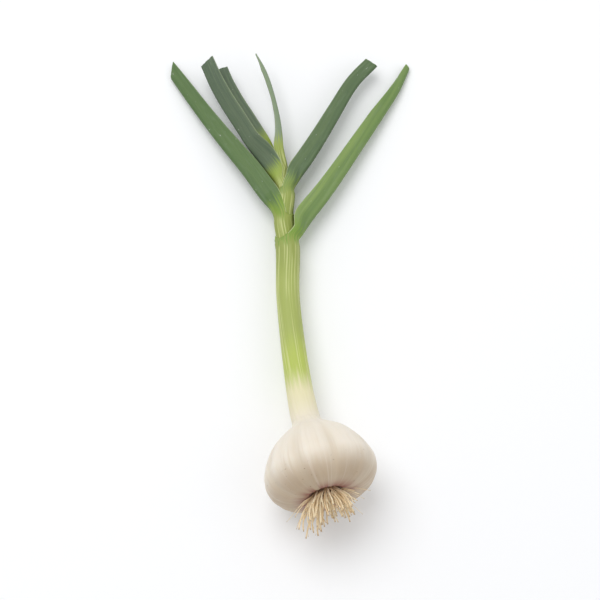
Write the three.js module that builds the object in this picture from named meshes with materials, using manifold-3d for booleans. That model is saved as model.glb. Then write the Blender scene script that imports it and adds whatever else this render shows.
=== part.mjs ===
// A fresh garlic plant lying on its side, as it is sold: the bulb with its root plate and trimmed roots,
// and five trimmed leaves. Each leaf is a tubular sheath and a folded blade in one piece, and the
// sheaths stand one inside the other, so that together they are the plant's stem.
// Millimetres, +Z up. The bulb rests on a small flat spot at the origin, +Y runs towards the leaves,
// and the leaves fan out over the XY plane.
import * as THREE from "three";
import { mergeVertices } from "three/addons/utils/BufferGeometryUtils.js";
import Module from "manifold-3d";

const wasm = await Module();
wasm.setup();

const GAP = 0.3; // between pieces that touch
const FAR = 400; // a size beyond the plant's, for what cuts it
const UP = new THREE.Vector3(0, 0, 1);
const vector = (xyz) => new THREE.Vector3(...xyz);

// ---- driving dimensions ----
const BULB_CENTRE = vector([-1, 4, 29.5]); // middle of the widest ring
const BULB_TILT = 12; // degrees that the root end is raised
const BULB_YAW = 14; // degrees that the bulb's axis turns from +Y towards -X
const NECK_TOP = 30; // along the bulb's axis, where the bulb ends and the first sheath starts
// The bulb's outline from the crater rim to the neck, as [along the axis, radius].
const BULB_OUTLINE = [
  [-14.6, 9.6],
  [-15.7, 14.6],
  [-13.8, 22.4],
  [-8.4, 28.6],
  [-1, 30.5],
  [6.3, 28.5],
  [13, 25],
  [18.6, 20.3],
  [22.8, 15],
  [26, 10.4],
  [NECK_TOP, 7.9],
];
const CRATER_FLOOR = -12.2;
const CRATER_FLOOR_RADIUS = 8.2;
const CLOVES = 10;
const CLOVE_GROOVE = 0.7; // depth of the grooves between the cloves, at the widest ring
const GROOVE_SHARPNESS = 6; // the higher, the narrower the grooves
const GROOVE_STARTS = [-16, -6]; // along the axis, where the grooves grow to that depth
const GROOVE_ENDS = [2, 24]; // and where they fade again

const PLATE_RADIUS = 7.8;
const PLATE_EDGE = 0.6; // height of the root plate's rim
const PLATE_DOME = 2; // height of its dome above the rim
const ROOTS = 40;
const ROOT_RADIUS = 0.5;
const ROOT_MARGIN = 0.8; // from the outermost roots to the plate's edge
const ROOT_LENGTH = 9; // of a root in the middle of the tuft
const LEFT_LONGER = 9; // how much longer a root is at the left edge of the plate
const RIGHT_LONGER = 3; // and at its right edge
const LENGTH_SCATTER = 3;
const SPREAD = 0.6; // how far an edge root leans aside, for its length along the axis
const LEAN = -0.06; // how far every root leans to the left, likewise
const DROOP = -0.1; // and downwards
const RISE = 0.5; // how far an edge root leans up or down, likewise
const EARLY = 1.5; // how fast a root spreads at its foot, for its mean rate
const LATER = 0.6; // and how much of that it has lost at its tip

// The stem's centre line, from the bulb's neck to the base of the youngest leaf.
const STEM_POINTS = [
  [-11.8, 51, 19.6],
  [-15.7, 80, 16],
  [-18.3, 108, 13.9],
  [-18.4, 134, 12.8],
  [-20.3, 148, 12.5],
  [-20.5, 155, 12.4],
  [-19.7, 166, 12.2],
  [-21.2, 174, 12.1],
  [-22.2, 183, 12.1],
  [-23.4, 196, 12],
];

// The leaves, from the outermost to the youngest. side is 1 where the blade leaves the stem on its right
// and -1 on its left. sheath gives the Y of the sheath's foot and of its mouth, and radius its radius
// between them. keel is the blade's folded back edge beyond the sheath, width how wide each half of the
// blade is along it, fold the angle between the halves, and roll how far the blade is turned about its
// keel. At the cut end, slant is how much further the blade's free edges run than its keel, and skew how
// much further its upper half runs than its lower half.
const LEAVES = [
  {
    name: "leaf_1_with_stem",
    side: 1,
    sheath: [32.8, 138],
    radius: [7.8, 7.3, 6.9, 6.6, 6.4, 6.5, 6.8],
    keel: [
      [-10, 142, 12.5],
      [-5.2, 149.5, 12.2],
      [5.9, 165, 11.5],
      [24.1, 194.7, 8.6],
      [36.2, 215.1, 6],
      [44.9, 230.6, 3.8],
      [50.7, 244.6, 1.9],
    ],
    width: [11.6, 11.9, 11.1, 10.2, 9.5, 8.7, 6.7, 3.8],
    fold: 22,
    roll: 0,
    slant: 2,
    skew: 0,
  },
  {
    name: "leaf_2",
    side: -1,
    sheath: [128, 152],
    radius: [5.4, 5.7],
    keel: [
      [-27.8, 156, 12.3],
      [-33.3, 162.6, 12],
      [-43.5, 177.6, 11],
      [-59.4, 199.6, 8.2],
      [-73.2, 220.2, 5.2],
      [-84.7, 238.4, 2.3],
    ],
    width: [12.2, 12.4, 12, 11, 10, 9, 7.4],
    fold: 28,
    roll: 2,
    slant: 8.3,
    skew: 2,
  },
  {
    name: "leaf_3",
    side: 1,
    sheath: [145, 168],
    radius: [4.6, 5.1, 5.3, 5.3],
    keel: [
      [-13.4, 171.5, 12.2],
      [-9.8, 177.2, 12.2],
      [-5, 184.3, 12],
      [3.3, 198.4, 11.5],
      [11.2, 213.1, 11],
      [21.3, 231.1, 10.5],
      [32.2, 243.4, 10],
    ],
    width: [11.4, 10.8, 10.5, 10, 9.4, 8.8, 8.4, 8.3],
    fold: 24,
    roll: 0,
    slant: -1.5,
    skew: 0,
  },
  {
    name: "leaf_4",
    side: -1,
    sheath: [159, 171],
    radius: [4.1, 4.5, 4.5],
    keel: [
      [-26.8, 173.9, 12.1],
      [-31.2, 180, 12],
      [-40.4, 192.7, 11.8],
      [-49.4, 207.4, 11.6],
      [-56, 218.2, 11.4],
      [-61.8, 229.3, 11.2],
      [-67.4, 242.6, 11],
    ],
    width: [7.6, 11.8, 14.2, 15.4, 15.6, 15.2, 14.8, 14.4],
    fold: 58,
    roll: 29,
    slant: -1,
    skew: 4,
  },
  {
    name: "leaf_5_young",
    side: 1,
    sheath: [165, 177],
    radius: [3.4, 3.6, 3.6],
    keel: [
      [-18.7, 183.5, 12.2],
      [-19.9, 189, 12.2],
      [-20.9, 194.5, 12.2],
      [-21.4, 201, 12.2],
      [-22.4, 209, 12.6],
      [-24.2, 218, 13],
      [-28.2, 232.7, 13.8],
      [-31.5, 241, 14],
      [-36.3, 249.6, 14],
    ],
    width: [8, 7.5, 6.3, 4.7, 3.7, 3.2, 3.4, 3.1, 0.9],
    fold: 20,
    roll: 0,
    slant: 0,
    skew: 0,
  },
];
const MOUTH_SLANT = 50; // degrees that a sheath's rim climbs from the side away from its blade
const MOUTH_RISE = 1.4; // how far the rim's highest point is beyond its lowest, in radii of the sheath
const BLADE_FOOT = 0.5; // how far the blade starts below the mouth, in radii
const COLLAR = [0.6, 2.6]; // where the blade turns from round to folded, in radii beyond the mouth
const ROLLING = [2.5, 7]; // where it rolls about its keel, in radii beyond the mouth
const TURN_REACH = 0.4; // how far before and after a place its direction is taken from, in radii
const WIDTH_REACH = 1.5; // where the blade has its listed width, in radii beyond the mouth
const CUT_FROM = 0.7; // share of the blade's length beyond which its free edges run on by the slant
const BLADE_PROUD = 0.15; // how far the blade's foot stands out from its sheath
const KEEL_BEND = 2.2; // length of the rounded part of the section on each side of the keel
const BLADE_THICKNESS = 1;

// How finely the surfaces are divided.
const OUTLINE_STEPS = 18;
const BULB_SEGMENTS = 50;
const PLATE_RINGS = [0, 0.4, 0.65, 0.85, 1]; // shares of the plate's radius
const PLATE_SEGMENTS = 24;
const ROOT_SIDES = 6;
const ROOT_STEPS = 5;
const SHEATH_SIDES = 20;
const SHEATH_RING = 7; // length of a sheath from ring to ring
const BLADE_COLUMNS = 8;
const BLADE_ROWS = 23;
const CROWDING = 1.4; // the higher, the closer the rows near the mouth and the columns near the keel

const COLOURS = {
  bulb: 0xe6dccb,
  root_plate: 0x6e5140,
  root: 0xd2b98f,
  leaf_1_with_stem: 0xa3b478,
  leaf_2: 0x73825d,
  leaf_3: 0x6b7d60,
  leaf_4: 0x65745c,
  leaf_5_young: 0x8e9a82,
};
const ROUGHNESS = { bulb: 0.5, root_plate: 0.9, root: 0.75, leaf: 0.45 };

// ---- helpers ----
const lerp = THREE.MathUtils.lerp;
const smoothstep = THREE.MathUtils.smoothstep;
const radians = THREE.MathUtils.degToRad;

// The value at share t, from 0 to 1, of a list of evenly spaced values.
function along(values, t) {
  const at = Math.min(Math.max(t, 0), 1) * (values.length - 1);
  const i = Math.min(Math.floor(at), values.length - 2);
  return lerp(values[i], values[i + 1], at - i);
}

// A repeatable value from 0 to 1 for whole numbers a and b.
function scatter(a, b) {
  const s = Math.sin(a * 12.9898 + b * 78.233) * 43758.5453;
  return s - Math.floor(s);
}

// A regular polygon as a section to extrude.
function disc(radius, sides) {
  const points = Array.from({ length: sides }, (_, k) => {
    const turn = (k / sides) * 2 * Math.PI;
    return new THREE.Vector2(radius * Math.cos(turn), radius * Math.sin(turn));
  });
  return new THREE.Shape(points);
}

// Moves each vertex of a closed geometry to where place(vertex) says.
function warp(geometry, place) {
  const position = geometry.attributes.position;
  const at = new THREE.Vector3();
  for (let i = 0; i < position.count; i++) {
    const to = place(at.fromBufferAttribute(position, i));
    position.setXYZ(i, to.x, to.y, to.z);
  }
  return geometry;
}

function solid(geometry) {
  const bare = geometry.clone();
  for (const name of Object.keys(bare.attributes)) {
    if (name !== "position") bare.deleteAttribute(name);
  }
  const merged = mergeVertices(bare, 1e-3);
  return new wasm.Manifold(
    new wasm.Mesh({
      numProp: 3,
      vertProperties: merged.attributes.position.array,
      triVerts: new Uint32Array(merged.index.array),
    }),
  );
}

function geometryOf(manifold) {
  const mesh = manifold.getMesh();
  const geometry = new THREE.BufferGeometry();
  geometry.setAttribute("position", new THREE.BufferAttribute(mesh.vertProperties, 3));
  geometry.setIndex(new THREE.BufferAttribute(mesh.triVerts, 1));
  return geometry;
}

function piece(name, geometry, color, roughness) {
  const mesh = new THREE.Mesh(geometry, new THREE.MeshStandardMaterial({ color, roughness, metalness: 0 }));
  mesh.name = name;
  return mesh;
}

// What lies below the surface that the plant rests on.
const BELOW_REST = solid(new THREE.BoxGeometry(2 * FAR, 2 * FAR, FAR).translate(0, 0, -FAR / 2));

// ---- the bulb's own frame ----
const tilt = radians(BULB_TILT);
const yaw = radians(BULB_YAW);
const bulbAxis = vector([-Math.sin(yaw) * Math.cos(tilt), Math.cos(yaw) * Math.cos(tilt), -Math.sin(tilt)]);
const bulbSide = new THREE.Vector3().crossVectors(bulbAxis, UP).normalize();
const bulbUp = new THREE.Vector3().crossVectors(bulbSide, bulbAxis);

// The point at a place along the bulb's axis, and x, y across it.
function inBulb(axial, x, y) {
  return BULB_CENTRE.clone()
    .addScaledVector(bulbAxis, axial)
    .addScaledVector(bulbSide, x)
    .addScaledVector(bulbUp, y);
}

// A lathe profile of [along the axis, radius] turned round the bulb's axis.
function turned(profile, segments, radiusScale = () => 1) {
  const points = profile.map(([axial, radius]) => new THREE.Vector2(radius, axial));
  return warp(new THREE.LatheGeometry(points, segments), (v) => {
    const scale = radiusScale(v.y, Math.atan2(v.z, v.x));
    return inBulb(v.y, v.x * scale, v.z * scale);
  });
}

function bulb() {
  const curve = new THREE.SplineCurve(BULB_OUTLINE.map((point) => new THREE.Vector2(...point)));
  const outline = curve.getPoints(OUTLINE_STEPS).map((p) => [p.x, p.y]);
  const profile = [[CRATER_FLOOR, 0], [CRATER_FLOOR, CRATER_FLOOR_RADIUS], ...outline, [NECK_TOP, 0]];
  const widest = Math.max(...outline.map(([, radius]) => radius));
  // The cloves show as shallow ribs, which fade out towards the crater and the neck.
  const ribs = (axial, angle) => {
    const fade = smoothstep(axial, ...GROOVE_STARTS) * (1 - smoothstep(axial, ...GROOVE_ENDS));
    const groove = Math.pow(Math.abs(Math.cos((CLOVES / 2) * angle)), GROOVE_SHARPNESS);
    return 1 - (CLOVE_GROOVE / widest) * fade * groove;
  };
  return geometryOf(solid(turned(profile, BULB_SEGMENTS, ribs)).subtract(BELOW_REST));
}

// The root plate's face, as a place along the bulb's axis, at a distance from that axis.
function plateFace(distance) {
  const share = distance / PLATE_RADIUS;
  return CRATER_FLOOR - GAP - PLATE_EDGE - PLATE_DOME * (1 - share * share);
}

function rootPlate() {
  const top = CRATER_FLOOR - GAP;
  const rings = PLATE_RINGS.map((share) => share * PLATE_RADIUS);
  const dome = rings.map((distance) => [plateFace(distance), distance]);
  return turned([...dome, [top, PLATE_RADIUS], [top, 0]], PLATE_SEGMENTS);
}

// Root i leaves the root plate at its place in a sunflower pattern. The tuft parts into a longer left
// bunch and a shorter right one.
function root(i) {
  const distance = (PLATE_RADIUS - ROOT_MARGIN) * Math.sqrt((i + 0.5) / ROOTS);
  const angle = i * Math.PI * (3 - Math.sqrt(5));
  const x = distance * Math.cos(angle);
  const y = distance * Math.sin(angle);
  const left = Math.sqrt(Math.max(-x / PLATE_RADIUS, 0));
  const right = Math.sqrt(Math.max(x / PLATE_RADIUS, 0));
  const length = ROOT_LENGTH + LEFT_LONGER * left + RIGHT_LONGER * right + LENGTH_SCATTER * scatter(i, 1);
  const aside = SPREAD * (right - left) + LEAN;
  const at = (share) => {
    const run = length * share * (EARLY - LATER * share);
    return inBulb(
      plateFace(distance) - GAP - ROOT_RADIUS - length * share,
      x + run * aside,
      y + run * ((RISE * y) / PLATE_RADIUS + DROOP),
    );
  };
  const path = new THREE.CatmullRomCurve3([0, 0.25, 0.5, 0.75, 1].map(at));
  return new THREE.ExtrudeGeometry(disc(ROOT_RADIUS, ROOT_SIDES), { steps: ROOT_STEPS, extrudePath: path });
}

// ---- stem and leaves ----
const stem = new THREE.CatmullRomCurve3([
  inBulb(NECK_TOP, 0, 0),
  inBulb(NECK_TOP + 6, 0, 0),
  ...STEM_POINTS.map(vector),
]);
stem.arcLengthDivisions = 400;

// The share of the stem's length at which its centre line reaches a given Y.
function stemShare(y) {
  let low = 0;
  let high = 1;
  for (let i = 0; i < 40; i++) {
    const middle = (low + high) / 2;
    if (stem.getPointAt(middle).y < y) low = middle;
    else high = middle;
  }
  return low;
}

// A round column along the stem between two Y values, made larger all over by grow.
function column([yFrom, yTo], radii, grow) {
  const rings = Math.max(2, Math.round((yTo - yFrom) / SHEATH_RING));
  const from = stemShare(yFrom - grow);
  const to = stemShare(yTo + grow);
  return solid(
    warp(new THREE.CylinderGeometry(1, 1, 1, SHEATH_SIDES, rings), (v) => {
      const t = v.y + 0.5;
      const share = lerp(from, to, t);
      const tangent = stem.getTangentAt(share);
      const across = new THREE.Vector3().crossVectors(tangent, UP).normalize();
      const over = new THREE.Vector3().crossVectors(across, tangent);
      const radius = along(radii, t) + grow;
      return stem
        .getPointAt(share)
        .addScaledVector(across, v.x * radius)
        .addScaledVector(over, v.z * radius);
    }),
  );
}

// The end of an arc of a given length and curvature that starts at the origin with a given heading.
// Headings turn from the blade's upper side, first number, towards its free edges, second number.
function arc(length, curvature, heading) {
  if (Math.abs(curvature) < 1e-6) return [length * Math.cos(heading), length * Math.sin(heading)];
  const end = heading + curvature * length;
  return [(Math.sin(end) - Math.sin(heading)) / curvature, (Math.cos(heading) - Math.cos(end)) / curvature];
}

// One half of a blade's section, at a distance from the keel: [over, in, heading]. folded is 0 where the
// section is a tube round the stem and 1 where it is a fold.
function section(distance, folded, tubeRadius, fold) {
  const round = 1 / tubeRadius;
  const atKeel = lerp(round, (Math.PI / 2 - fold / 2) / KEEL_BEND, folded);
  const beyond = lerp(round, 0, folded);
  const bend = Math.min(distance, KEEL_BEND);
  const heading = atKeel * bend;
  const first = arc(bend, atKeel, 0);
  const second = arc(distance - bend, beyond, heading);
  return [first[0] + second[0], first[1] + second[1], heading + beyond * (distance - bend)];
}

// The point on the side of a leaf's sheath where its keel runs, at a given Y. side is the leaf's own, or
// its opposite for the other side of the sheath.
function sheathEdge(leaf, y, side = leaf.side) {
  const share = stemShare(y);
  const across = new THREE.Vector3().crossVectors(stem.getTangentAt(share), UP).normalize();
  return stem.getPointAt(share).addScaledVector(across, side * leaf.radius.at(-1));
}

// A leaf's sheath before its mouth is cut. grow makes it larger all over, as a cutter.
function uncutSheath(leaf, grow = 0) {
  const [foot, mouth] = leaf.sheath;
  return column([foot, mouth + MOUTH_RISE * leaf.radius.at(-1)], leaf.radius, grow);
}

// A leaf's sheath, with its mouth cut on a slant that is lowest on the side away from the blade.
function sheath(leaf) {
  const low = sheathEdge(leaf, leaf.sheath[1], -leaf.side);
  const beyondRim = new THREE.BoxGeometry(2 * FAR, FAR, 2 * FAR)
    .translate(0, FAR / 2, 0)
    .rotateZ(leaf.side * radians(MOUTH_SLANT))
    .translate(low.x, low.y, low.z);
  return uncutSheath(leaf).subtract(solid(beyondRim));
}

// The open part of a leaf, from just inside its sheath to its tip, as one sheet that is half a tube at
// first and then folds along the keel.
function blade(leaf) {
  const radius = leaf.radius.at(-1) + BLADE_PROUD;
  const mouth = leaf.sheath[1];
  const below = BLADE_FOOT * radius;
  const keel = new THREE.CatmullRomCurve3([
    sheathEdge(leaf, mouth - below),
    sheathEdge(leaf, mouth),
    ...leaf.keel.map(vector),
  ]);
  const length = keel.getLength();
  // A point of the keel, which runs on straight before its start and stops at its end.
  const keelAt = (share) => {
    const inside = Math.min(Math.max(share, 0), 1);
    return keel.getPointAt(inside).addScaledVector(keel.getTangentAt(0), Math.min(share, 0) * length);
  };
  const reach = (TURN_REACH * radius) / length;
  return warp(new THREE.BoxGeometry(1, 1, 1, BLADE_COLUMNS, BLADE_ROWS, 1), (v) => {
    const share = Math.pow(v.y + 0.5, CROWDING);
    const half = -leaf.side * Math.sign(v.x); // 1 on the blade's upper half, -1 on its lower half
    const run = share * length - below;
    const folded = smoothstep(run, COLLAR[0] * radius, COLLAR[1] * radius);
    const tangent = keelAt(share + reach).sub(keelAt(share - reach)).normalize();
    const across = new THREE.Vector3().crossVectors(UP, tangent).multiplyScalar(leaf.side).normalize();
    const over = new THREE.Vector3().crossVectors(tangent, across).multiplyScalar(leaf.side);
    const roll = radians(leaf.roll) * smoothstep(run, ROLLING[0] * radius, ROLLING[1] * radius);
    const inwards = across.clone().multiplyScalar(Math.cos(roll)).addScaledVector(over, Math.sin(roll));
    const upwards = over.clone().multiplyScalar(Math.cos(roll)).addScaledVector(across, -Math.sin(roll));
    const opened = smoothstep(run, 0, WIDTH_REACH * radius);
    const width = lerp(0.5 * Math.PI * radius, along(leaf.width, share), opened);
    const fromKeel = Math.pow(Math.abs(v.x) * 2, lerp(1, CROWDING, folded));
    const [up, inn, heading] = section(fromKeel * width, folded, radius, radians(leaf.fold));
    const depth = v.z > 0 ? 0 : BLADE_THICKNESS;
    const behind = ((leaf.skew * (1 - half)) / 2) * smoothstep(fromKeel * width, 0, KEEL_BEND);
    const uneven = (leaf.slant * fromKeel - behind) * smoothstep(share, CUT_FROM, 1);
    return keelAt(share)
      .addScaledVector(upwards, half * (up - depth * Math.sin(heading)))
      .addScaledVector(inwards, inn + depth * Math.cos(heading))
      .addScaledVector(tangent, uneven);
  });
}

function leafGeometry(leaf, next) {
  let made = sheath(leaf).add(solid(blade(leaf)));
  if (next) made = made.subtract(uncutSheath(next, GAP + BLADE_PROUD));
  return geometryOf(made.subtract(BELOW_REST));
}

// ---- the plant ----
const garlic = new THREE.Group();
garlic.add(piece("bulb", bulb(), COLOURS.bulb, ROUGHNESS.bulb));
garlic.add(piece("root_plate", rootPlate(), COLOURS.root_plate, ROUGHNESS.root_plate));
for (let i = 0; i < ROOTS; i++) {
  const name = `root_${String(i + 1).padStart(2, "0")}`;
  garlic.add(piece(name, root(i), COLOURS.root, ROUGHNESS.root));
}
LEAVES.forEach((leaf, i) => {
  garlic.add(piece(leaf.name, leafGeometry(leaf, LEAVES[i + 1]), COLOURS[leaf.name], ROUGHNESS.leaf));
});

export default garlic;
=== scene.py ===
"""A fresh garlic plant lying on a pale table: bulb, root plate, roots and five trimmed leaves.

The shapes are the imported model's own, made again from the same dimensions with a finer surface. Only the
sheaths' mouths are shaped more closely here, and the skin's folds, the fine roots and the ragged cut ends are
added. All the plant's dimensions are in millimetres, and mesh_piece turns them into metres.
"""
import math

import bpy
import numpy as np
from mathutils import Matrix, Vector, noise


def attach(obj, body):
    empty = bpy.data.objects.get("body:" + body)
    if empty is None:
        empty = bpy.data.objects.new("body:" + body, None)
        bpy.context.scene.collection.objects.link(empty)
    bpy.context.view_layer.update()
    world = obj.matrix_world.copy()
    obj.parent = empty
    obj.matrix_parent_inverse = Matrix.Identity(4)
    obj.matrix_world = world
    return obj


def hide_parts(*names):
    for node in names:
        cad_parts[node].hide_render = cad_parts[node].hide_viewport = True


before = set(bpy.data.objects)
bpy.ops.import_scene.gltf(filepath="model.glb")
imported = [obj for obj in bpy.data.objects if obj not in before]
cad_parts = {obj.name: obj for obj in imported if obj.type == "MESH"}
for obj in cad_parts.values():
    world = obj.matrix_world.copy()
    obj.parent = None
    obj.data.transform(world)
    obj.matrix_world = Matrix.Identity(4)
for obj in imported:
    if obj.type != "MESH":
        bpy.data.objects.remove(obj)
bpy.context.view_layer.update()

MM = 0.001
SHARP = 60  # degrees at which two faces meet in a sharp edge
GAP = 0.3  # between pieces that touch
UP = np.array([0.0, 0.0, 1.0])

# ---- the bulb ----
BULB_CENTRE = np.array([-1, 4, 29.5])
BULB_TILT = 12  # degrees that the root end is raised
BULB_YAW = 14  # degrees that the axis turns from +Y towards -X
NECK_TOP = 30  # along the axis, where the bulb ends and the outermost sheath starts
NECK_RADIUS = 7.9
NECK_RUN = 6  # how far beyond the neck the stem still follows the bulb's axis
# The outline from the middle of the crater's floor to the neck, as [along the axis, radius].
BULB_OUTLINE = [
    [-12.2, 0.5],
    [-12.2, 6.5],
    [-12.6, 8.3],
    [-14.4, 9.9],
    [-15.7, 14.6],
    [-13.8, 22.4],
    [-8.4, 28.6],
    [-1, 30.5],
    [6.3, 28.5],
    [13, 25],
    [18.6, 20.3],
    [22.8, 15],
    [26, 10.5],
    [28, 8.7],
    [NECK_TOP, NECK_RADIUS],
]
CLOVES = 10
CLOVE_GROOVE = 0.7  # depth of the grooves between the cloves
GROOVE_SHARPNESS = 8  # the higher, the narrower the grooves
# How the cloves differ in width: how far the grooves are turned, how often round the bulb, and from where.
CLOVE_SHIFTS = [[0.22, 2, 0.6], [0.13, 3, 2]]
SKIN_WRINKLE = 0.16  # height of the skin's fine folds
WRINKLE_SIZE = 1.5  # across them
WRINKLE_STRETCH = [1, 1, 0.03]
SKIN_SWELL = 0.35  # height of the skin's broad swellings
SWELL_SIZE = 9
SWELL_STRETCH = [1, 1, 0.3]
# Where the skin's relief grows from nothing to full, along the axis and outwards from it.
GROOVE_REACH = [[24, 4], [8, 13]]
WRINKLE_REACH = [[16, -12], [7, 10]]
SWELL_REACH = [[26, 12], [8, 20]]
BULB_TURNS = 288  # columns round the bulb
BULB_STEPS = 15  # rows from one point of its outline to the next

# ---- the root plate and the roots ----
CRATER_FLOOR = -12.2
PLATE_RADIUS = 7.8
PLATE_DOME = 2
PLATE_EDGE = 0.6
PLATE_LUMPS = 0.25  # height of the lumps on its face
LUMP_SIZES = [1.3, 0.6]
PLATE_HUB = 0.02  # radius of its innermost ring, as a share of the plate's
PLATE_INNER_EDGE = 0.1  # how far the edge stops short of the crater's floor and its gap
PLATE_TAPER = 0.98  # the edge's radius there, as a share of the plate's
PLATE_TURNS = 72  # columns round the plate
PLATE_ROWS = 24
ROOTS = 40
FINE_ROOTS = 70
FINE_SEED = 100  # the first of their seeds
ROOT_RADIUS = 0.58
FINE_RADIUS = [0.2, 0.4]
ROOT_MARGIN = 0.8  # from the plate's edge to the outermost root's centre
ROOT_SUNK = 0.4  # how deep in the plate a root starts
ROOT_LENGTH = 9  # of a root in the middle of the tuft
LEFT_LONGER = 9  # how much longer a root is at the left edge
RIGHT_LONGER = 3  # and at the right edge
LENGTH_SCATTER = 3
FINE_LENGTH = [0.35, 1]  # as a share of what a thick root would have there
SPREAD = 0.6  # how far an edge root leans aside, for its length along the axis
LEAN = -0.06  # how far every root leans to the right, likewise. It is below 0, so they lean to the left.
RISE = 0.5  # how far an edge root leans up or down, likewise
DROOP = -0.1  # how far every root leans up, likewise. It is below 0, so they droop.
EARLY = 1.5  # how fast a root spreads at its foot, for its mean rate
LATER = 0.6  # and how much of that it has lost at its tip
STRAYING = 0.4  # how far a root leans at random, for its length
FINE_STRAYING = 1.1
BEND = 0.44  # how far its tip is bent aside, for how far it strays and its length
WAVE = 0.3  # how far a root's tip waves to each side
WAVE_TURN = 7  # radians of the wave along a root
WAVE_START = 6  # the most radians that the wave starts from
ROOT_TAPER = 0.35  # share of its radius that a root loses towards its tip
KNOT = 0.12  # share of its radius by which a root swells and shrinks
KNOT_TURN = 23  # radians of that swelling along a root
KNOT_START = 40  # the most radians that it starts from
ROOT_SIDES = 8
ROOT_RINGS = 26
ROOT_POINTS = 15  # on its centre line
BESIDE_ROOTS = UP + [0.3, 0.1, 0]  # a direction that no root has
# Roots and thin hairs that stray from the tuft. Each has the place of its end, as [left or right, up or
# down, along the axis], and its radius.
STRAYS = [
    ([-24, -3, -23], 0.16),
    ([-13, 4, -19], 0.16),
    ([23, 2, -19], 0.16),
    ([19, -2, -21], 0.16),
    ([-11, -4, -34], 0.16),
    ([-8, -5, -32], 0.16),
    ([16, -3, -29], 0.16),
    ([-17, 3, -19.5], 0.4),
    ([-15, 1, -22], 0.45),
    ([-12, 4, -21], 0.4),
    ([-16, -2, -24], 0.35),
    ([15, 4, -18], 0.4),
    ([17, 2, -19.5], 0.35),
    ([15, 0, -22], 0.45),
    ([12, 3, -21], 0.4),
]
STRAY_FOOT = 5  # how far left or right of the plate's middle such a root starts
STRAY_LEVEL = 4  # the distance at which the plate's face is level with that start
# The middle of such a root: its share of the end's place, and what is added.
STRAY_SHARE = np.array([0.6, 0.3, 0.55])
STRAY_SHIFT = np.array([0, 2, -4.8])
STRAY_STEPS = 8

# ---- the stem and the leaves ----
STEM_POINTS = [
    [-11.8, 51, 19.6],
    [-15.7, 80, 16],
    [-18.3, 108, 13.9],
    [-18.4, 134, 12.8],
    [-20.3, 148, 12.5],
    [-20.5, 155, 12.4],
    [-19.7, 166, 12.2],
    [-21.2, 174, 12.1],
    [-22.2, 183, 12.1],
    [-23.4, 196, 12],
]
LEAVES = [
    {
        "name": "leaf_1_with_stem",
        "side": 1,
        "sheath": [32.8, 138],
        "radius": [7.8, 7.3, 6.9, 6.6, 6.4, 6.5, 6.8],
        "keel": [
            [-10, 142, 12.5],
            [-5.2, 149.5, 12.2],
            [5.9, 165, 11.5],
            [24.1, 194.7, 8.6],
            [36.2, 215.1, 6],
            [44.9, 230.6, 3.8],
            [50.7, 244.6, 1.9],
        ],
        "width": [11.6, 11.9, 11.1, 10.2, 9.5, 8.7, 6.7, 3.8],
        "fold": 22,
        "roll": 0,
        "slant": 2,
        "skew": 0,
    },
    {
        "name": "leaf_2",
        "side": -1,
        "sheath": [128, 152],
        "radius": [5.4, 5.7],
        "keel": [
            [-27.8, 156, 12.3],
            [-33.3, 162.6, 12],
            [-43.5, 177.6, 11],
            [-59.4, 199.6, 8.2],
            [-73.2, 220.2, 5.2],
            [-84.7, 238.4, 2.3],
        ],
        "width": [12.2, 12.4, 12, 11, 10, 9, 7.4],
        "fold": 28,
        "roll": 2,
        "slant": 8.3,
        "skew": 2,
    },
    {
        "name": "leaf_3",
        "side": 1,
        "sheath": [145, 168],
        "radius": [4.6, 5.1, 5.3, 5.3],
        "keel": [
            [-13.4, 171.5, 12.2],
            [-9.8, 177.2, 12.2],
            [-5, 184.3, 12],
            [3.3, 198.4, 11.5],
            [11.2, 213.1, 11],
            [21.3, 231.1, 10.5],
            [32.2, 243.4, 10],
        ],
        "width": [11.4, 10.8, 10.5, 10, 9.4, 8.8, 8.4, 8.3],
        "fold": 24,
        "roll": 0,
        "slant": -1.5,
        "skew": 0,
    },
    {
        "name": "leaf_4",
        "side": -1,
        "sheath": [159, 171],
        "radius": [4.1, 4.5, 4.5],
        "keel": [
            [-26.8, 173.9, 12.1],
            [-31.2, 180, 12],
            [-40.4, 192.7, 11.8],
            [-49.4, 207.4, 11.6],
            [-56, 218.2, 11.4],
            [-61.8, 229.3, 11.2],
            [-67.4, 242.6, 11],
        ],
        "width": [7.6, 11.8, 14.2, 15.4, 15.6, 15.2, 14.8, 14.4],
        "fold": 58,
        "roll": 29,
        "slant": -1,
        "skew": 4,
    },
    {
        "name": "leaf_5_young",
        "side": 1,
        "sheath": [165, 177],
        "radius": [3.4, 3.6, 3.6],
        "keel": [
            [-18.7, 183.5, 12.2],
            [-19.9, 189, 12.2],
            [-20.9, 194.5, 12.2],
            [-21.4, 201, 12.2],
            [-22.4, 209, 12.6],
            [-24.2, 218, 13],
            [-28.2, 232.7, 13.8],
            [-31.5, 241, 14],
            [-36.3, 249.6, 14],
        ],
        "width": [8, 7.5, 6.3, 4.7, 3.7, 3.2, 3.4, 3.1, 0.9],
        "fold": 20,
        "roll": 0,
        "slant": 0,
        "skew": 0,
    },
]
MOUTH_SLANT = 50  # degrees that a sheath's rim climbs from the side away from its blade
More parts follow.
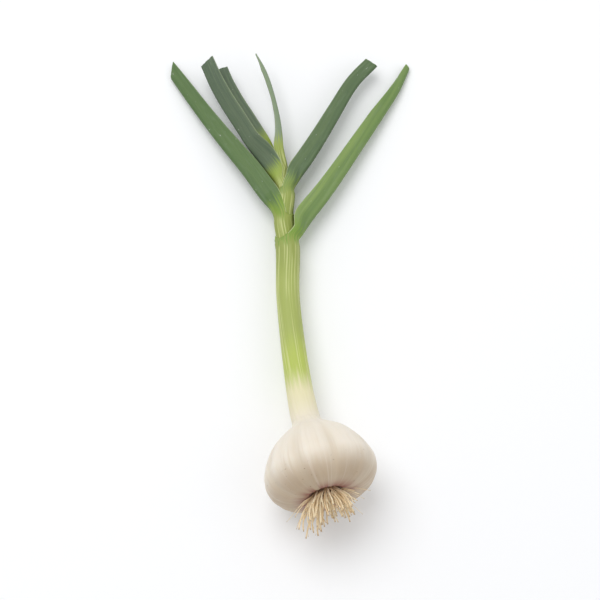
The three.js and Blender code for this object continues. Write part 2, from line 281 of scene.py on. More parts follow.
# How far up the rim's lowest point is turned from the side away from the blade, in degrees, and how
# much of the sheath's girth the blade has at the mouth.
MOUTHS = {
    "leaf_1_with_stem": [50, 0.4],
    "leaf_2": [50, 0.58],
    "leaf_3": [45, 0.58],
    "leaf_4": [20, 0.5],
    "leaf_5_young": [0, 0.5],
}
SEAM_REACH = 3  # how far below the mouth the sheath's seam starts to run across, in radii
SEAM_RETURN = 1.2  # how far beyond the mouth the lower half no longer reaches further round, in radii
BLADE_FOOT = 0.5  # how far the blade starts below the mouth, in radii of the sheath
COLLAR = [0.6, 2.6]  # where the blade turns from round to folded, in radii beyond the mouth
ROLLING = [2.5, 7]  # where it rolls about its keel, in radii beyond the mouth
TURN_REACH = 0.4  # how far before and after a place its direction is taken from, in radii
WIDTH_REACH = 1.5  # where the blade has its listed width, in radii beyond the mouth
CUT_FROM = 0.7  # share of the blade's length beyond which its free edges run on by the slant
KEEL_BEND = 2.2  # length of the rounded part of the section on each side of the keel
BLADE_THICKNESS = 0.9
WALL_GAP = 0.2  # between a sheath's wall and the sheath inside it
LAST_WALL = 0.7  # of the youngest leaf's sheath, which holds nothing
WALL_REACH = 2.5  # where a sheath's wall has become as thin as the blade, in radii beyond the mouth
THINNER = 0.35  # share of its thickness that the blade has lost at its margin
THICKEST = 0.45  # share of a half's width that its thickness never passes
EDGE = 0.25  # share of the thickness that a margin keeps
CORNER = 0.6  # how softly a rim turns into the blade's margin
RAGGED = 0.35  # how far the cut end is uneven
RAGGED_SIZE = 2.2
RAGGED_FROM = 0.985  # share of the blade's length beyond which it is
CROWDING = 1.4  # the higher, the closer the columns near the keel
# The columns of a half, as shares of its width. They are closest at the margin, which is rounded.
HALF_COLUMNS = np.array([*np.linspace(0, 0.95, 30), 0.968, 0.98, 0.989, 0.996, 1])
SHEATH_STEP = 1.5  # from row to row
FOOT_ROWS = 4  # between the blade's foot and the mouth
COLLAR_ROWS = 44
BLADE_STEP = 1.3  # from row to row
LAST_STEP = 0.6  # the least from the last row but one to the cut end
SOCKET_ROWS = 14  # from the floor of a sheath's socket to its mouth
LEAF_SEED = 5  # the first leaf's
OFF_MARGIN = 9  # the distance to the margin that a closed sheath is given

# ---- the grain ----
# It runs round a circle of one size, whatever the piece's own radius.
GRAIN_RADIUS = 10
ROOT_GRAIN_RADIUS = 2
ROOT_GRAIN_SHIFT = np.array([50, 0, 30])  # the most that a root's grain is shifted, so that roots differ
ALONG_FIBRES = (1, 1, 0.02)  # stretches a pattern into streaks


# ---- helpers ----
def unit(v):
    return v / np.linalg.norm(v, axis=-1, keepdims=True)


def lerp(a, b, t):
    return a + (b - a) * t


def smoothstep(x, low, high):
    t = np.clip((x - low) / (high - low), 0, 1)
    return t * t * (3 - 2 * t)


def along(values, t):
    """The value at share t, from 0 to 1, of a list of evenly spaced values."""
    return np.interp(t, np.linspace(0, 1, len(values)), values)


def scatter(a, b):
    """A repeatable value from 0 to 1 for whole numbers a and b."""
    s = math.sin(a * 12.9898 + b * 78.233) * 43758.5453
    return s - math.floor(s)


def spline(points, steps=60):
    """Points along the centripetal Catmull-Rom curve through the given ones."""
    p = np.asarray(points, float)
    p = np.vstack([2 * p[0] - p[1], p, 2 * p[-1] - p[-2]])
    knot = np.concatenate([[0], np.cumsum(np.sqrt(np.linalg.norm(np.diff(p, axis=0), axis=1)))])
    made = []
    for i in range(1, len(p) - 2):
        t = np.linspace(knot[i], knot[i + 1], steps, endpoint=False)[:, None]
        t0, t1, t2, t3 = knot[i - 1 : i + 3]
        a = lerp(p[i - 1], p[i], (t - t0) / (t1 - t0))
        b = lerp(p[i], p[i + 1], (t - t1) / (t2 - t1))
        c = lerp(p[i + 1], p[i + 2], (t - t2) / (t3 - t2))
        d = lerp(a, b, (t - t0) / (t2 - t0))
        e = lerp(b, c, (t - t1) / (t3 - t1))
        made.append(lerp(d, e, (t - t1) / (t2 - t1)))
    return np.vstack([*made, p[-2]])


class Path:
    """A smooth curve through points, measured by length."""

    def __init__(self, points):
        self.points = spline(points)
        steps = np.linalg.norm(np.diff(self.points, axis=0), axis=1)
        self.at_length = np.concatenate([[0], np.cumsum(steps)])
        self.length = self.at_length[-1]

    def point(self, s):
        """The point at length s. Before its start and beyond its end the path runs on straight."""
        s = np.asarray(s, float)
        inside = np.clip(s, 0, self.length)
        found = np.stack([np.interp(inside, self.at_length, self.points[:, k]) for k in range(3)], -1)
        first = unit(self.points[1] - self.points[0])
        last = unit(self.points[-1] - self.points[-2])
        found += np.minimum(s, 0)[..., None] * first
        return found + np.maximum(s - self.length, 0)[..., None] * last

    def tangent(self, s, reach=0.5):
        return unit(self.point(s + reach) - self.point(s - reach))


def rough(points, size, seed):
    """Smooth noise from -1 to 1 at each point."""
    shift = Vector((seed * 7.3, seed * 3.1, seed * 5.7))
    flat = np.reshape(points, (-1, 3)) / size
    values = [noise.noise(Vector(p) + shift) for p in flat]
    return np.reshape(values, np.shape(points)[:-1])


# ---- mesh making ----
def grid_faces(index, flip=False):
    """Four-sided faces over a grid of vertex numbers."""
    a, b, c, d = index[:-1, :-1], index[:-1, 1:], index[1:, 1:], index[1:, :-1]
    corners = (a, d, c, b) if flip else (a, b, c, d)
    return np.stack(corners, -1).reshape(-1, 4).tolist()


def ring_faces(rows, turns, flip=False):
    """Faces over rings of vertices, with a cap at each end."""
    index = np.arange(rows * turns).reshape(rows, turns)
    first, last = index[0].tolist(), index[-1].tolist()
    caps = [first, last[::-1]] if flip else [first[::-1], last]
    return grid_faces(np.c_[index, index[:, :1]], flip) + caps


def mesh_piece(name, points, faces, attributes, material, slot, *replaced):
    """A piece from vertices in millimetres, riding on the plant's one body."""
    mesh = bpy.data.meshes.new(name)
    mesh.from_pydata((np.asarray(points) * MM).tolist(), [], faces)
    for key, values in attributes.items():
        values = np.asarray(values, np.float32)
        if values.ndim == 2:
            mesh.attributes.new(key, "FLOAT_VECTOR", "POINT").data.foreach_set("vector", values.ravel())
        else:
            mesh.attributes.new(key, "FLOAT", "POINT").data.foreach_set("value", values)
    mesh.validate()
    mesh.shade_smooth()
    mesh.set_sharp_from_angle(angle=math.radians(SHARP))
    mesh.materials.append(material)
    made = bpy.data.objects.new(name, mesh)
    bpy.context.scene.collection.objects.link(made)
    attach(made, "root")
    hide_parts(*replaced)


# ---- materials ----
def rgb(red, green, blue):
    """A colour given by its screen values, as the shader wants it."""
    linear = [((v / 255 + 0.055) / 1.055) ** 2.4 if v > 10 else v / 255 / 12.92 for v in (red, green, blue)]
    return (*linear, 1)


class Shader:
    """A material's node tree, with short ways to add its nodes."""

    def __init__(self, name):
        self.material = bpy.data.materials.new(name)
        self.material.use_nodes = True
        self.tree = self.material.node_tree
        self.surface = self.tree.nodes["Principled BSDF"]

    def put(self, socket, value):
        if isinstance(value, bpy.types.NodeSocket):
            self.tree.links.new(value, socket)
        else:
            socket.default_value = value

    def add(self, kind, inputs, output=0, **settings):
        node = self.tree.nodes.new("ShaderNode" + kind)
        for key, value in settings.items():
            setattr(node, key, value)
        for key, value in inputs.items():
            self.put(node.inputs[key], value)
        return node.outputs[output]

    def value(self, name):
        return self.add("Attribute", {}, "Fac", attribute_name=name)

    def vector(self, name):
        return self.add("Attribute", {}, "Vector", attribute_name=name)

    def math(self, operation, a, b):
        return self.add("Math", {0: a, 1: b}, operation=operation)

    def step(self, value, low, high, to_low=0.0, to_high=1.0):
        """A smooth change from to_low to to_high as value goes from low to high."""
        inputs = {"Value": value, "From Min": low, "From Max": high, "To Min": to_low, "To Max": to_high}
        return self.add("MapRange", inputs, interpolation_type="SMOOTHSTEP")

    def mix(self, factor, a, b, blend="MIX"):
        return self.add("Mix", {0: factor, 6: a, 7: b}, 2, data_type="RGBA", blend_type=blend)

    def noise(self, vector, scale, detail, stretch=None):
        if stretch:
            vector = self.add("VectorMath", {0: vector, 1: stretch}, operation="MULTIPLY")
        return self.add("TexNoise", {"Vector": vector, "Scale": scale, "Detail": detail})

    def bump(self, height, distance, strength, normal=None):
        inputs = {"Height": height, "Distance": distance, "Strength": strength}
        if normal is not None:
            inputs["Normal"] = normal
        return self.add("Bump", inputs)

    def finish(self, **sockets):
        for name, value in sockets.items():
            self.put(self.surface.inputs[name.replace("_", " ")], value)
        return self.material


def skin_colour(shader, grain, height):
    """The white skin that runs from the bulb up the neck and turns green along the stem."""
    streaks = shader.noise(grain, 0.55, 3, ALONG_FIBRES)
    cream = shader.mix(streaks, rgb(229, 219, 202), rgb(240, 232, 219))
    neck = shader.mix(streaks, rgb(222, 215, 170), rgb(234, 228, 194))
    return shader.mix(shader.step(height, 22, 46), cream, neck)


def bulb_material():
    s = Shader("garlic_skin")
    grain = s.vector("grain")
    height = s.value("height")
    groove_shade = s.value("groove_shade")
    colour = skin_colour(s, grain, height)
    # Towards the crater the skin is drier and browner, and partly darkened there as painted shade of the
    # bulb's lower side, with dark red streaks at the rim.
    patches = s.noise(grain, 0.16, 3, (1, 1, 0.12))
    dry_skin_and_shade = s.mix(patches, rgb(160, 134, 104), rgb(198, 175, 144))
    colour = s.mix(s.step(height, 2, -14, 0, 0.85), colour, dry_skin_and_shade)
    folds = s.noise(grain, 1.3, 3, (1, 1, 0.025))
    lower = s.step(height, 16, -8, 0.2, 1)
    dark_folds = s.math("MULTIPLY", s.step(folds, 0.5, 0.7, 0, 0.35), lower)
    pale_folds = s.math("MULTIPLY", s.step(folds, 0.46, 0.3, 0, 0.17), lower)
    colour = s.mix(dark_folds, colour, rgb(203, 184, 158))
    colour = s.mix(pale_folds, colour, rgb(246, 240, 230))
    # Painted shade: the skin is darkened in the grooves between the cloves.
    colour = s.mix(s.math("MULTIPLY", groove_shade, 0.35), colour, rgb(205, 190, 166))
    rim = s.math("MULTIPLY", s.step(s.value("radius"), 21, 10), s.step(height, 0, -8))
    stain = s.math("MULTIPLY", rim, s.step(s.noise(grain, 0.35, 3, (1, 1, 0.1)), 0.38, 0.58))
    colour = s.mix(s.math("MULTIPLY", stain, 0.9), colour, rgb(140, 62, 68))
    specks = s.math("MULTIPLY", s.step(s.noise(grain, 1.1, 1), 0.72, 0.78), s.step(height, 4, -12))
    colour = s.mix(s.math("MULTIPLY", specks, 0.6), colour, rgb(112, 84, 62))
    bump = s.bump(s.noise(grain, 1.6, 4, (1, 1, 0.04)), 0.0006, 0.35)
    bump = s.bump(s.noise(grain, 0.9, 5), 0.0004, 0.15, bump)
    rough_value = s.step(s.noise(grain, 0.4, 3), 0.3, 0.7, 0.42, 0.6)
    return s.finish(
        Base_Color=colour,
        Roughness=rough_value,
        Normal=bump,
        Subsurface_Weight=0.12,
        Subsurface_Radius=(1.0, 0.7, 0.45),
        Subsurface_Scale=0.003,
        Sheen_Weight=0.08,
        Sheen_Roughness=0.5,
    )


def root_plate_material():
    s = Shader("corky_root_plate")
    at = s.add("TexCoord", {}, "Object")
    lumps = s.noise(at, 700, 5)
    colour = s.mix(s.step(lumps, 0.35, 0.65), rgb(84, 58, 44), rgb(158, 126, 94))
    return s.finish(Base_Color=colour, Roughness=0.9, Normal=s.bump(lumps, 0.0008, 0.8))


def root_material():
    s = Shader("dry_root")
    share = s.value("share")
    own = s.value("own")
    grain = s.vector("grain")
    streak = s.noise(grain, 2.2, 3, (1, 1, 0.25))
    colour = s.mix(own, rgb(244, 216, 172), rgb(255, 243, 212))
    colour = s.mix(s.step(streak, 0.45, 0.7, 0, 0.45), colour, rgb(194, 158, 114))
    colour = s.mix(s.step(share, 0.25, 0.0, 0, 0.6), colour, rgb(166, 118, 90))
    colour = s.mix(s.step(share, 0.93, 1.0, 0, 0.5), colour, rgb(140, 104, 70))
    bump = s.bump(streak, 0.0004, 0.6)
    return s.finish(Base_Color=colour, Roughness=0.75, Normal=bump)


# ---- the bulb ----
def bulb_frame():
    tilt, yaw = math.radians(BULB_TILT), math.radians(BULB_YAW)
    axis = np.array([-math.sin(yaw) * math.cos(tilt), math.cos(yaw) * math.cos(tilt), -math.sin(tilt)])
    side = unit(np.cross(axis, UP))
    return axis, side, np.cross(side, axis)


BULB_AXIS, BULB_SIDE, BULB_UP = bulb_frame()


def in_bulb(axial, x, y):
    """The point at a place along the bulb's axis, and x, y across it."""
    return (
        BULB_CENTRE
        + np.multiply.outer(axial, BULB_AXIS)
        + np.multiply.outer(x, BULB_SIDE)
        + np.multiply.outer(y, BULB_UP)
    )


def grain_at(angle, height, radius=GRAIN_RADIUS):
    """Coordinates that follow the plant's fibres, for its materials."""
    return np.stack(np.broadcast_arrays(radius * np.cos(angle), radius * np.sin(angle), height), -1)


def clove_groove(angle):
    """1 in a groove between two cloves and 0 away from them. The cloves differ in width."""
    shift = sum(size * np.sin(times * angle + start) for size, times, start in CLOVE_SHIFTS)
    return np.abs(np.cos(CLOVES / 2 * (angle + shift))) ** GROOVE_SHARPNESS


def make_bulb():
    outline = spline(np.c_[BULB_OUTLINE, np.zeros(len(BULB_OUTLINE))], BULB_STEPS)[:, :2]
    angle = np.linspace(0, 2 * np.pi, BULB_TURNS, endpoint=False)
    axial = outline[:, :1] + 0 * angle
    radius = outline[:, 1:] + 0 * angle
    grain = grain_at(angle, axial)

    def reach(lengthwise, outwards):
        return smoothstep(axial, *lengthwise) * smoothstep(radius, *outwards)

    groove = clove_groove(angle) * reach(*GROOVE_REACH)
    wrinkle = rough(grain * WRINKLE_STRETCH, WRINKLE_SIZE, 1) * reach(*WRINKLE_REACH)
    swell = rough(grain * SWELL_STRETCH, SWELL_SIZE, 2) * reach(*SWELL_REACH)
    shaped = radius - CLOVE_GROOVE * groove + SKIN_WRINKLE * wrinkle + SKIN_SWELL * swell
    points = in_bulb(axial, shaped * np.cos(angle), shaped * np.sin(angle))
    points[..., 2] = np.maximum(points[..., 2], 0)
    faces = ring_faces(len(outline), BULB_TURNS)
    attributes = {
        "grain": grain.reshape(-1, 3),
        "height": axial.ravel(),
        "radius": radius.ravel(),
        "groove_shade": groove.ravel(),
    }
    mesh_piece("bulb_skin", points.reshape(-1, 3), faces, attributes, bulb_material(), "bulb", "bulb")


# ---- the root plate and the roots ----
def plate_face(distance):
    """The plate's face, as a place along the bulb's axis, at a distance from that axis."""
    return CRATER_FLOOR - GAP - PLATE_EDGE - PLATE_DOME * (1 - (distance / PLATE_RADIUS) ** 2)


def make_root_plate():
    angle = np.linspace(0, 2 * np.pi, PLATE_TURNS, endpoint=False)
    dome = np.linspace(PLATE_HUB, 1, PLATE_ROWS)[:, None] * PLATE_RADIUS
    axial = np.vstack([plate_face(dome), [[CRATER_FLOOR - GAP - PLATE_INNER_EDGE]]]) + 0 * angle
    radius = np.vstack([dome, [[PLATE_RADIUS * PLATE_TAPER]]]) + 0 * angle
    points = in_bulb(axial, radius * np.cos(angle), radius * np.sin(angle))
    coarse, fine = LUMP_SIZES
    lumps = rough(points, coarse, 3) + 0.5 * rough(points, fine, 4)
    points += PLATE_LUMPS * lumps[..., None] * BULB_AXIS
    faces = ring_faces(len(points), PLATE_TURNS)
    material = root_plate_material()
    name = "corky_root_plate"
    mesh_piece(name, points.reshape(-1, 3), faces, {}, material, "root_plate", "root_plate")


def root_path(place, seed, length_scale, stray):
    """The centre line of a root that leaves the plate at a place in a sunflower pattern."""
    distance = (PLATE_RADIUS - ROOT_MARGIN) * math.sqrt(place)
    angle = seed * math.pi * (3 - math.sqrt(5))
    x, y = distance * math.cos(angle), distance * math.sin(angle)
    left = math.sqrt(max(-x / PLATE_RADIUS, 0))
    right = math.sqrt(max(x / PLATE_RADIUS, 0))
    length = ROOT_LENGTH + LEFT_LONGER * left + RIGHT_LONGER * right + LENGTH_SCATTER * scatter(seed, 1)
    length *= length_scale
    aside = SPREAD * (right - left) + LEAN + stray * (scatter(seed, 2) - 0.5)
    over = RISE * y / PLATE_RADIUS + DROOP + stray * (scatter(seed, 3) - 0.5)
    share = np.linspace(0, 1, ROOT_POINTS)
    run = length * share * (EARLY - LATER * share)
    bend_aside, bend_over = (BEND * stray * (scatter(seed, k) - 0.5) * length * share**2 for k in (4, 5))
    wave = WAVE * share * np.sin(WAVE_TURN * share + WAVE_START * scatter(seed, 6))
    axial = plate_face(distance) + ROOT_SUNK - (length + ROOT_SUNK) * share
    return in_bulb(axial, x + run * aside + bend_aside + wave, y + run * over + bend_over + wave)


def tube(path, radius, own):
    """A tapering fibre along a path: its vertices, its faces, and its grain and the share of its length
    at each vertex. own is the fibre's own value from 0 to 1."""
    curve = Path(path)
    s = np.linspace(0, curve.length, ROOT_RINGS)
    share = s / curve.length
    tangent = curve.tangent(s)
    across = unit(np.cross(tangent, BESIDE_ROOTS))
    over = np.cross(across, tangent)
    angle = np.linspace(0, 2 * np.pi, ROOT_SIDES, endpoint=False)
    knots = 1 + KNOT * np.sin(KNOT_TURN * share + KNOT_START * own)
    size = radius * (1 - ROOT_TAPER * share) * knots
    ring = np.cos(angle)[:, None] * across[:, None] + np.sin(angle)[:, None] * over[:, None]
    points = curve.point(s)[:, None] + size[:, None, None] * ring
    faces = ring_faces(ROOT_RINGS, ROOT_SIDES, flip=True)
    grain = grain_at(angle, s[:, None], ROOT_GRAIN_RADIUS) + own * ROOT_GRAIN_SHIFT
    return points.reshape(-1, 3), faces, grain.reshape(-1, 3), np.repeat(share, ROOT_SIDES)


def make_roots():
    fibres = []
    for i in range(ROOTS):
        path = root_path((i + 0.5) / ROOTS, i, 1, STRAYING)
        fibres.append((path, ROOT_RADIUS, scatter(i, 9)))
    for seed in range(FINE_SEED, FINE_SEED + FINE_ROOTS):
        path = root_path(scatter(seed, 7), seed, lerp(*FINE_LENGTH, scatter(seed, 8)), FINE_STRAYING)
        fibres.append((path, lerp(*FINE_RADIUS, scatter(seed, 10)), scatter(seed, 9)))
    for i, (place, radius) in enumerate(STRAYS):
        foot = (STRAY_FOOT * np.sign(place[0]), 0, plate_face(STRAY_LEVEL))
        through = [foot, place * STRAY_SHARE + STRAY_SHIFT, place]
        path = spline([in_bulb(axial, x, y) for x, y, axial in through], STRAY_STEPS)
        fibres.append((path, radius, scatter(i, 11)))
    points, faces, grain, share, own = [], [], [], [], []
    count = 0
    for path, radius, tint in fibres:
        p, f, g, s = tube(path, radius, tint)
        points.append(p)
        faces += [[v + count for v in face] for face in f]
        grain.append(g)
        share.append(s)
        own.append(np.full(len(p), tint))
        count += len(p)
    attributes = {
        "grain": np.vstack(grain),
        "share": np.concatenate(share),
        "own": np.concatenate(own),
    }
    names = [f"root_{i + 1:02d}" for i in range(ROOTS)]
    mesh_piece("root_tuft", np.vstack(points), faces, attributes, root_material(), "root", *names)


# ---- the stem and the leaves ----
STEM = Path([in_bulb(NECK_TOP, 0, 0), in_bulb(NECK_TOP + NECK_RUN, 0, 0), *STEM_POINTS])


def stem_length(y):
    """The length along the stem at which its centre line reaches a given Y."""
    return np.interp(y, STEM.points[:, 1], STEM.at_length)


def arc(length, curvature, heading):
    """The end of an arc that starts at the origin: [towards the upper side, towards the free edges]."""
    curvature = np.where(np.abs(curvature) < 1e-6, 1e-6, curvature)
    end = heading + curvature * length
    return (np.sin(end) - np.sin(heading)) / curvature, (np.cos(heading) - np.cos(end)) / curvature


def section(distance, folded, tube_radius, fold):
    """One half of a section at a distance from the keel along it: how far it has come over to its side and
    inwards to the free edges, and its heading. folded is 0 where the section is a tube round the stem and
    1 where it is a fold."""
    at_keel = lerp(1 / tube_radius, (np.pi / 2 - fold / 2) / KEEL_BEND, folded)
    beyond = lerp(1 / tube_radius, 0, folded)
    bend = np.minimum(distance, KEEL_BEND)
    heading = at_keel * bend
    first = arc(bend, at_keel, 0 * bend)
    second = arc(distance - bend, beyond, heading)
    return first[0] + second[0], first[1] + second[1], heading + beyond * (distance - bend)


def sheath_edge(leaf, length, side):
    """The point on one side of a leaf's sheath at a length along the stem."""
    across = unit(np.cross(STEM.tangent(length), UP))
    return STEM.point(length) + side * leaf["radius"][-1] * across


def leaf_rows(leaf):
    """The leaf's cross sections from the sheath's foot to the blade's tip, one value or vector for each."""
    side = leaf["side"]
    foot, mouth = leaf["sheath"]
    radius = leaf["radius"][-1]
    below = BLADE_FOOT * radius
    first = 0 if leaf is LEAVES[0] else stem_length(foot)
    last = stem_length(mouth)

    # The sheath runs round the stem.
    s = np.linspace(first, last - below, round((last - first) / SHEATH_STEP), endpoint=False)
    radii = list(leaf["radius"])
    if leaf is LEAVES[0]:
        radii[0] = NECK_RADIUS
    sheath_radius = along(radii, (s - first) / (last - below - first))
    tangent = STEM.tangent(s)
    across = unit(np.cross(tangent, UP))
    sheath = {
        "keel": STEM.point(s) + side * across * sheath_radius[:, None],
        "tangent": tangent,
        "inwards": -side * across,
        "upwards": np.cross(across, tangent),
        "radius": sheath_radius,
        "run": s - last,
        "share": 0 * s,
    }

    # The blade follows its keel, from a little below the mouth.
    keel = Path([sheath_edge(leaf, last - below, side), sheath_edge(leaf, last, side), *leaf["keel"]])
    length = keel.length - below
    opening = COLLAR[1] * radius
    run = np.concatenate(
        [
            np.linspace(-below, 0, FOOT_ROWS, endpoint=False),
            np.linspace(0, opening, COLLAR_ROWS, endpoint=False),
            np.arange(opening, length - LAST_STEP, BLADE_STEP),
            [length],
        ]
    )
    tangent = keel.tangent(run + below, TURN_REACH * radius)
    across = unit(side * np.cross(UP, tangent))
    over = side * np.cross(tangent, across)
    roll = np.radians(leaf["roll"]) * smoothstep(run, ROLLING[0] * radius, ROLLING[1] * radius)[:, None]
    blade = {
        "keel": keel.point(run + below),
        "tangent": tangent,
        "inwards": np.cos(roll) * across + np.sin(roll) * over,
        "upwards": np.cos(roll) * over - np.sin(roll) * across,
        "radius": 0 * run + radius,
        "run": run,
        "share": (run + below) / keel.length,
    }
    return {key: np.concatenate([sheath[key], blade[key]]) for key in sheath}, last


def half_widths(leaf, rows, mouth_length):
    """How far the leaf's upper and lower halves reach from its keel along its surface, for each row."""
    run, share, radius = rows["run"], rows["share"], rows["radius"]
    mouth_radius = leaf["radius"][-1]
    # The rim lies in a plane that climbs from the mouth's lowest point, away from it.
    slant = math.radians(MOUTH_SLANT)
    turn = math.radians(MOUTHS[leaf["name"]][0])
    tangent = STEM.tangent(mouth_length)
    away = -leaf["side"] * unit(np.cross(tangent, UP))
    to_low = math.cos(turn) * away + math.sin(turn) * UP
    low = STEM.point(mouth_length) + mouth_radius * to_low
    normal = math.cos(slant) * unit(tangent * [1, 1, 0]) + math.sin(slant) * to_low
    # Round a section, the height above that plane is a cosine of the angle from the keel.
    beyond = (rows["keel"] - low) @ normal
    inwards = radius * (rows["inwards"] @ normal)
    upwards = radius * (rows["upwards"] @ normal)
    swing = np.hypot(inwards, upwards)
    to_rim = np.arccos(np.clip((beyond + inwards) / swing, -1, 1))
    turned = np.arctan2(upwards, inwards) * smoothstep(run, -SEAM_REACH * mouth_radius, 0)
    opened = smoothstep(run, 0, WIDTH_REACH * mouth_radius)
    open_width = lerp(MOUTHS[leaf["name"]][1] * np.pi * mouth_radius, along(leaf["width"], share), opened)
    returned = smoothstep(run, SEAM_RETURN * mouth_radius, 0)
    widths = []
    for shift in (-turned, turned * returned):
        closed = radius * (np.pi + shift)
        rim = radius * (to_rim + shift)
        wider = 0.5 * (rim + open_width + np.sqrt((rim - open_width) ** 2 + CORNER))
        widths.append(np.where(to_rim == np.pi, closed, np.minimum(wider, closed)))
    return widths


def wall_thickness(number):
    """How thick a sheath's wall is at its mouth, which is what the next sheath leaves room for."""
    if number + 1 == len(LEAVES):
        return LAST_WALL
    leaf, inner = LEAVES[number], LEAVES[number + 1]
    foot, mouth = inner["sheath"]
    inner_radius = along(inner["radius"], (leaf["sheath"][1] - foot) / (mouth - foot))
    return leaf["radius"][-1] - inner_radius - WALL_GAP


def leaf_faces(count, columns, mouth_row, flip):
    """Faces over a leaf's outer surface and then its inner one, each a grid of vertices. Up to the mouth the
    outer one is closed round, and the inner one starts at the floor of the sheath's socket."""
    outside = np.arange(count * columns).reshape(count, columns)
    outside[: mouth_row + 1, -1] = outside[: mouth_row + 1, 0]
    inside = outside + count * columns
    socket = max(mouth_row - SOCKET_ROWS, 1)
    faces = grid_faces(outside, flip) + grid_faces(inside[socket:], not flip)
    for margin, turn in ((0, flip), (-1, not flip)):
        faces += grid_faces(np.stack([inside[mouth_row:, margin], outside[mouth_row:, margin]], 1), turn)
    faces += grid_faces(np.stack([outside[-1], inside[-1]]), flip)
    foot = outside[0, :-1].tolist()
    floor = inside[socket, :-1].tolist()
    return faces + ([foot, floor[::-1]] if flip else [foot[::-1], floor])


def only_used(points, faces, attributes):
    """The same mesh without the vertices that no face uses."""
    used = np.zeros(len(points), bool)
    used[np.concatenate([np.ravel(face) for face in faces])] = True
    number = np.cumsum(used) - 1
    faces = [[int(number[v]) for v in face] for face in faces]
    return points[used], faces, {key: np.asarray(values)[used] for key, values in attributes.items()}


def make_leaf(number, material):
    leaf = LEAVES[number]
    rows, mouth_length = leaf_rows(leaf)
    run, share, radius = (rows[key][:, None] for key in ("run", "share", "radius"))
    mouth_radius = leaf["radius"][-1]
    folded = smoothstep(run, COLLAR[0] * mouth_radius, COLLAR[1] * mouth_radius)

    # The columns run from the lower half's margin over the keel to the upper half's margin.
    across = np.concatenate([-HALF_COLUMNS[:0:-1], HALF_COLUMNS])[None, :]
    half = np.sign(across)
    upper, lower = half_widths(leaf, rows, mouth_length)
    width = np.where(half > 0, upper[:, None], lower[:, None])
    from_keel = np.abs(across) ** lerp(1, CROWDING, folded)
    distance = from_keel * width
    from_margin = width - distance
    over, inwards, heading = section(distance, folded, radius, math.radians(leaf["fold"]))

    # The sheath's wall thins to the blade, and both are rounded at their margins.
    blade_thickness = BLADE_THICKNESS * (1 - THINNER * from_keel)
    thinned = smoothstep(run, 0, WALL_REACH * mouth_radius)
    thickness = np.minimum(lerp(wall_thickness(number), blade_thickness, thinned), THICKEST * width)
    rounding = np.sqrt(1 - (1 - np.clip(from_margin / (0.5 * thickness), 0, 1)) ** 2)
    rounding = np.where(run < 0, 1, np.maximum(rounding, EDGE))
    behind = leaf["skew"] * (1 - half) / 2 * smoothstep(distance, 0, KEEL_BEND)
    uneven = (leaf["slant"] * from_keel - behind) * smoothstep(share, CUT_FROM, 1)

    def surface(depth):
        aside = half * (over - depth * np.sin(heading))
        deeper = inwards + depth * np.cos(heading)
        made = rows["keel"][:, None] + aside[..., None] * rows["upwards"][:, None]
        made = made + deeper[..., None] * rows["inwards"][:, None]
        return made + uneven[..., None] * rows["tangent"][:, None]

    outer = surface(0.5 * thickness * (1 - rounding))
    inner = surface(0.5 * thickness * (1 + rounding))
    ragged = RAGGED * smoothstep(share, RAGGED_FROM, 1) * rough(outer, RAGGED_SIZE, LEAF_SEED + number)
    ragged = ragged[..., None] * rows["tangent"][:, None]
    points = np.concatenate([(outer + ragged).reshape(-1, 3), (inner + ragged).reshape(-1, 3)])
    points[:, 2] = np.maximum(points[:, 2], 0)

    def twice(values):
        """A value for each vertex of the outer surface and then of the inner one."""
        return np.tile(np.broadcast_to(values, distance.shape).ravel(), 2)

    angle = half * distance / mouth_radius
    if leaf["side"] < 0:
        angle = np.pi - angle
    height = run + mouth_length + NECK_TOP
    attributes = {
        "grain": np.tile(grain_at(angle, height).reshape(-1, 3), (2, 1)),
        "height": twice(height),
        "run": twice(run),
        "margin": twice(np.where(run > 0, from_margin, OFF_MARGIN)),
        "from_keel": twice(distance),
        "inside": np.repeat([0, 1], distance.size),
    }
    mouth_row = int(np.searchsorted(rows["run"], 0))
    faces = leaf_faces(*distance.shape, mouth_row, leaf["side"] < 0)
    slot = "stem_and_leaf" if number == 0 else "leaf"
    mesh_piece(leaf["name"] + "_skin", *only_used(points, faces, attributes), material, slot, leaf["name"])


# Each leaf's colours: its sheath, the yellow-green at its collar, the blade's darker green, which its broad
# patches take and which is also painted towards the keel as shade, the blade's middle, and how far beyond the
# mouth the blade's colour starts.
LEAF_COLOURS = {
    "leaf_1_with_stem": [rgb(166, 178, 98), rgb(124, 156, 64), rgb(106, 133, 76), rgb(132, 156, 88), 0.5],
    "leaf_2": [rgb(150, 168, 66), rgb(128, 156, 62), rgb(84, 111, 64), rgb(95, 121, 71), 2],
    "leaf_3": [rgb(146, 168, 78), rgb(132, 154, 80), rgb(86, 108, 74), rgb(98, 119, 80), 1],
    "leaf_4": [rgb(160, 178, 82), rgb(150, 170, 76), rgb(86, 104, 82), rgb(102, 118, 92), 6],
    "leaf_5_young": [rgb(158, 176, 82), rgb(156, 172, 88), rgb(130, 148, 118), rgb(144, 156, 134), 18],
}
INNER_FACE = rgb(168, 186, 78)  # of a blade near its collar
INNER_FADES = [24, 38]  # how far beyond the mouth that colour fades


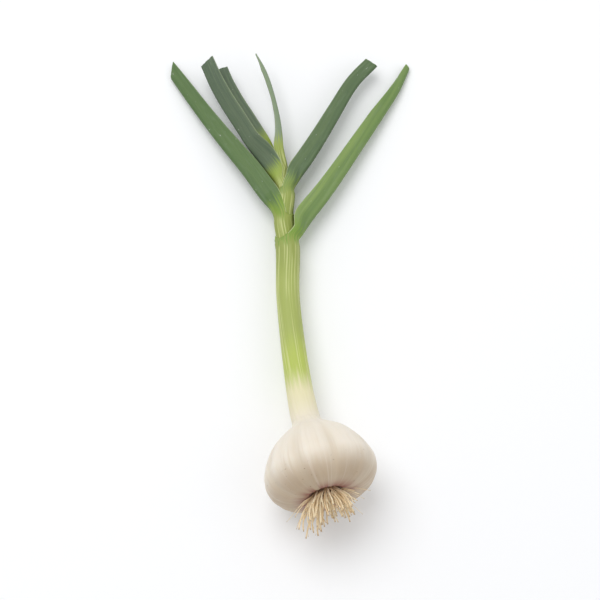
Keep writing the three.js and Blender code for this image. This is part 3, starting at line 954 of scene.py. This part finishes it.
def leaf_material(name):
    sheath, collar, edge, middle, start = LEAF_COLOURS[name]
    s = Shader(name)
    grain = s.vector("grain")
    run = s.value("run")
    veins = s.noise(grain, 0.75, 3, ALONG_FIBRES)
    fine = s.noise(grain, 2.4, 2, ALONG_FIBRES)
    broad = s.noise(grain, 0.22, 2, (1, 1, 0.06))
    blade = s.mix(s.step(broad, 0.36, 0.64), edge, middle)
    blade = s.mix(s.step(veins, 0.45, 0.75, 0, 0.3), blade, middle)
    # Painted shade: the blade is darkened towards its keel, where it bends away from the light.
    blade = s.mix(s.step(s.value("from_keel"), 6.5, 1, 0, 0.8), blade, edge)
    bloom = s.noise(grain, 0.3, 4, (1, 1, 0.3))
    blade = s.mix(s.step(bloom, 0.45, 0.75, 0, 0.2), blade, rgb(142, 160, 130))
    flecks = s.step(s.noise(grain, 0.9, 1, (1, 1, 0.4)), 0.75, 0.8)
    blade = s.mix(s.math("MULTIPLY", flecks, 0.6), blade, rgb(214, 220, 208))
    stem = s.mix(s.step(run, -28, -6, 0, 0.8), sheath, rgb(146, 158, 82))
    stem = s.mix(s.step(veins, 0.5, 0.6, 0, 0.6), stem, rgb(210, 216, 150))
    # The green of the blade and the yellow-green of the collar start streak by streak.
    streaked = s.math("ADD", run, s.step(veins, 0.25, 0.75, -4, 4))
    colour = s.mix(s.step(streaked, start - 4, start + 1), stem, collar)
    colour = s.mix(s.step(streaked, start + 0.5, start + 9), colour, blade)
    if name == LEAVES[0]["name"]:
        # Up the neck the white skin turns yellow-green over a short length, again streak by streak.
        height = s.value("height")
        ragged = s.math("ADD", height, s.step(veins, 0.2, 0.8, -5, 5))
        young = s.mix(s.step(veins, 0.5, 0.6, 0, 0.5), rgb(180, 194, 96), rgb(220, 224, 164))
        young = s.mix(s.step(ragged, 64, 84), young, colour)
        colour = s.mix(s.step(ragged, 44, 60), skin_colour(s, grain, height), young)
    pale_margin = s.math("MULTIPLY", s.step(s.value("margin"), 0.5, 0.15), s.step(run, 8, 20, 0.65, 0.15))
    colour = s.mix(pale_margin, colour, rgb(206, 214, 170))
    inner = s.math("MULTIPLY", s.value("inside"), s.step(run, *INNER_FADES, 0.85, 0))
    colour = s.mix(inner, colour, INNER_FACE)
    bump = s.bump(veins, 0.0006, 0.35)
    bump = s.bump(fine, 0.0003, 0.3, bump)
    return s.finish(
        Base_Color=colour,
        Roughness=s.step(bloom, 0.3, 0.7, 0.45, 0.6),
        Specular_IOR_Level=0.35,
        Normal=bump,
        Subsurface_Weight=0.06,
        Subsurface_Radius=(0.6, 1.0, 0.3),
        Subsurface_Scale=0.002,
    )


# ---- the plant ----
make_bulb()
make_root_plate()
make_roots()
for number, leaf in enumerate(LEAVES):
    make_leaf(number, leaf_material(leaf["name"]))


# ---- table, light and camera, in metres ----
TABLE_SIZE = 6
PLANT_MIDDLE = (-0.015, 0.11, 0)
WORLD_LIGHT = 0.62
CAMERA_PLACE = (-0.0116, -0.2979, 1.3275)
CAMERA_PITCH = 17  # degrees from looking straight down
CAMERA_LENS = 150  # focal length in millimetres


def make_table():
    mesh = bpy.data.meshes.new("table")
    corners = [(x * TABLE_SIZE / 2, y * TABLE_SIZE / 2, 0) for x, y in ((-1, -1), (1, -1), (1, 1), (-1, 1))]
    mesh.from_pydata(corners, [], [(0, 1, 2, 3)])
    s = Shader("table_white")
    grey = s.noise(s.add("TexCoord", {}, "Object"), 3, 2)
    colour = s.mix(grey, rgb(250, 251, 254), rgb(252, 253, 254))
    mesh.materials.append(s.finish(Base_Color=colour, Roughness=0.9))
    table = bpy.data.objects.new("table", mesh)
    bpy.context.scene.collection.objects.link(table)


def make_light(name, power, size, place):
    light = bpy.data.lights.new(name, "AREA")
    light.energy = power
    light.shape = "DISK"
    light.size = size
    made = bpy.data.objects.new(name, light)
    made.location = place
    made.rotation_euler = (Vector(PLANT_MIDDLE) - Vector(place)).to_track_quat("-Z", "Y").to_euler()
    bpy.context.scene.collection.objects.link(made)


make_table()
make_light("key", 12.5, 1.3, (-0.45, 0.6, 1.5))
make_light("fill", 4, 2.0, (1.3, -0.2, 1.5))

world = bpy.data.worlds.new("studio")
world.use_nodes = True
background = world.node_tree.nodes["Background"]
background.inputs["Color"].default_value = (1, 1, 1, 1)
background.inputs["Strength"].default_value = WORLD_LIGHT
bpy.context.scene.world = world
bpy.context.scene.view_settings.view_transform = "Standard"

camera = bpy.data.cameras.new("camera")
camera.lens = CAMERA_LENS
camera.sensor_width = 36
seen_from = bpy.data.objects.new("camera", camera)
seen_from.location = CAMERA_PLACE
seen_from.rotation_euler = (math.radians(CAMERA_PITCH), 0, 0)
bpy.context.scene.collection.objects.link(seen_from)
bpy.context.scene.camera = seen_from
